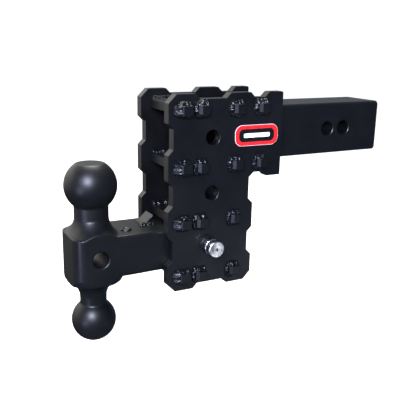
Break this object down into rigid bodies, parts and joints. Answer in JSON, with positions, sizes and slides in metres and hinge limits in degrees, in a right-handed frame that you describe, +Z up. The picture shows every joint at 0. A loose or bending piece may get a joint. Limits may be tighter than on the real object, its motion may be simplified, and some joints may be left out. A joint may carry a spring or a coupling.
{
  "type": "adjustable drop trailer hitch with dual-ball mount",
  "caption": "Adjustable drop hitch: square shank welded between scalloped side plates, stacked pockets, and a pinned reversible ball mount.",
  "frame": {"origin": "middle of the free end face of the shank", "axes": "+X along the shank towards the vehicle, +Z up with the larger ball upwards, +Y towards the lock side; the label side faces -Y"},
  "size_m": [0.407, 0.1348, 0.282],
  "materials": {
    "powder_coat": "satin black powder coat on steel plate",
    "painted_weld": "black powder coat over weld beads, a little glossier",
    "forging": "satin black coating on a forged and turned ball mount",
    "stainless": "turned stainless steel",
    "lock_chrome": "plated lock barrel",
    "key_brass": "machined brass",
    "rubber": "matte black rubber",
    "label": "red printed vinyl with a plain dark panel"
  },
  "bodies": {
    "hitch": {"shank": "powder_coat", "side_plate_front": "powder_coat", "side_plate_rear": "powder_coat", "cross_plate_row1": "powder_coat", "cross_plate_row2": "powder_coat", "cross_plate_row3": "powder_coat", "cross_plate_row4": "powder_coat", "pocket_weld_row1_front": "painted_weld", "pocket_weld_row1_rear": "painted_weld", "pocket_weld_row2_front": "painted_weld", "pocket_weld_row2_rear": "painted_weld", "pocket_weld_row3_front": "painted_weld", "pocket_weld_row3_rear": "painted_weld", "pocket_weld_row4_front": "painted_weld", "pocket_weld_row4_rear": "painted_weld", "shank_weld_front": "painted_weld", "shank_weld_rear": "painted_weld", "plate_label": "label"},
    "ball_mount": {"ball_mount": "forging", "bar_top_plug": "forging", "stop_lug": "powder_coat", "stop_lug_weld": "painted_weld"},
    "locking_pin": {"locking_pin": "stainless"},
    "lock": {"lock_barrel": "lock_chrome", "lock_seal_ring": "rubber"},
    "key_plug": {"lock_key_plug": "key_brass"},
    "dust_cap": {"lock_dust_cap": "rubber"}
  },
  "joints": [
    {"name": "ball_mount_play", "type": "slide", "parent": "hitch", "child": "ball_mount", "axis": [1, 0, 0], "range_m": [-0.0006, 0.0006]},
    {"name": "pin_pull", "type": "slide", "parent": "hitch", "child": "locking_pin", "axis": [0, -1, 0], "range_m": [0, 0.105]},
    {"name": "lock_off", "type": "slide", "parent": "hitch", "child": "lock", "axis": [0, 1, 0], "range_m": [0, 0.04]},
    {"name": "key_turn", "type": "hinge", "parent": "lock", "child": "key_plug", "pos_m": [-0.25, 0.0744, -0.127], "axis": [0, 1, 0], "range_deg": [0, 90]},
    {"name": "dust_cap_off", "type": "slide", "parent": "lock", "child": "dust_cap", "axis": [0, 1, 0], "range_m": [0, 0.025]}
  ]
}
